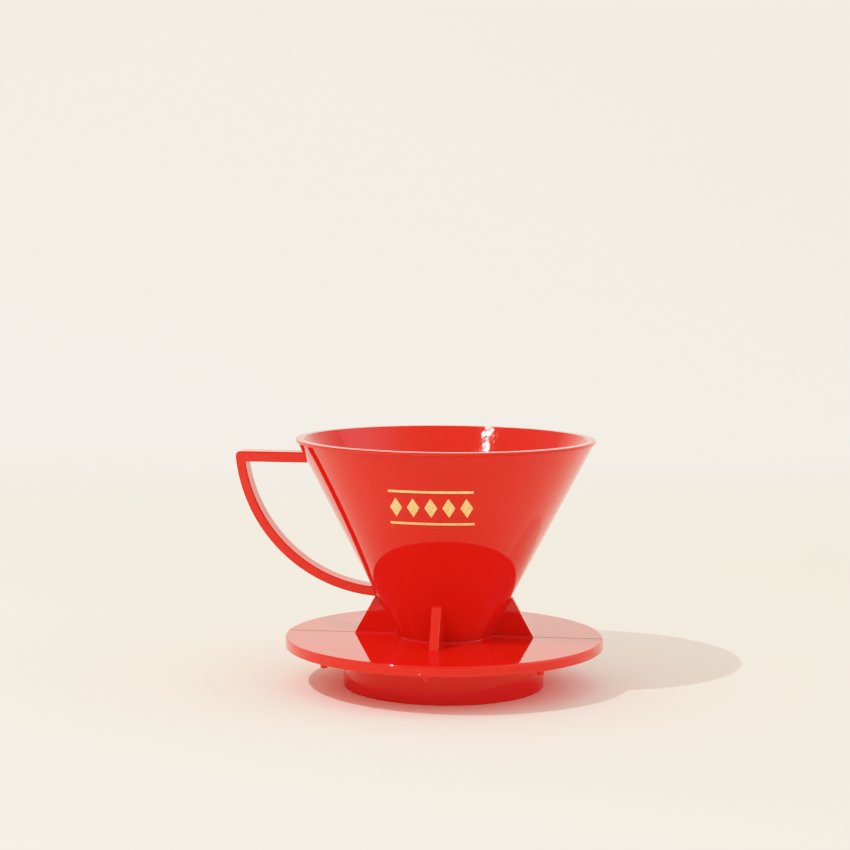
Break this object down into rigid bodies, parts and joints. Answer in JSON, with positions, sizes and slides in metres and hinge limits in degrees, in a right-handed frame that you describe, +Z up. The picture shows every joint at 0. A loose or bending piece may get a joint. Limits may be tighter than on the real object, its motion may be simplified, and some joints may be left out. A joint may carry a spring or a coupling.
{
  "type": "pour over dripper",
  "caption": "Conical pour-over coffee dripper in glossy red plastic, with a loop handle, a round flange on webs, and a centring ring below.",
  "frame": {"origin": "centre of the whole outline seen from above, at the foot of the centring ring; the cone's axis stands 9.41 mm to the +X side of it, because the handle reaches out to -X", "axes": "+Z up along the cone's axis; the handle points to -X; the printed mark faces -Y"},
  "size_m": [0.1348, 0.116, 0.0904],
  "materials": {
    "red_plastic": "polished moulded plastic, mirror-like gloss",
    "gold_foil": "hot-stamped gold foil, satin"
  },
  "bodies": {
    "root": {"cone_body": "red_plastic", "handle": "red_plastic", "flange_plate": "red_plastic", "collar_ring": "red_plastic", "gusset_front": "red_plastic", "gusset_back": "red_plastic", "gusset_left": "red_plastic", "gusset_right": "red_plastic", "spacer_nub_1": "red_plastic", "spacer_nub_2": "red_plastic", "spacer_nub_3": "red_plastic", "spacer_nub_4": "red_plastic", "spacer_nub_5": "red_plastic", "spacer_nub_6": "red_plastic", "spacer_nub_7": "red_plastic", "spacer_nub_8": "red_plastic", "drip_rib_01": "red_plastic", "drip_rib_02": "red_plastic", "drip_rib_03": "red_plastic", "drip_rib_04": "red_plastic", "drip_rib_05": "red_plastic", "drip_rib_06": "red_plastic", "drip_rib_07": "red_plastic", "drip_rib_08": "red_plastic", "drip_rib_09": "red_plastic", "drip_rib_10": "red_plastic", "drip_rib_11": "red_plastic", "drip_rib_12": "red_plastic", "foil_line_upper": "gold_foil", "foil_line_lower": "gold_foil", "foil_diamond_1": "gold_foil", "foil_diamond_2": "gold_foil", "foil_diamond_3": "gold_foil", "foil_diamond_4": "gold_foil", "foil_diamond_5": "gold_foil"}
  },
  "joints": []
}
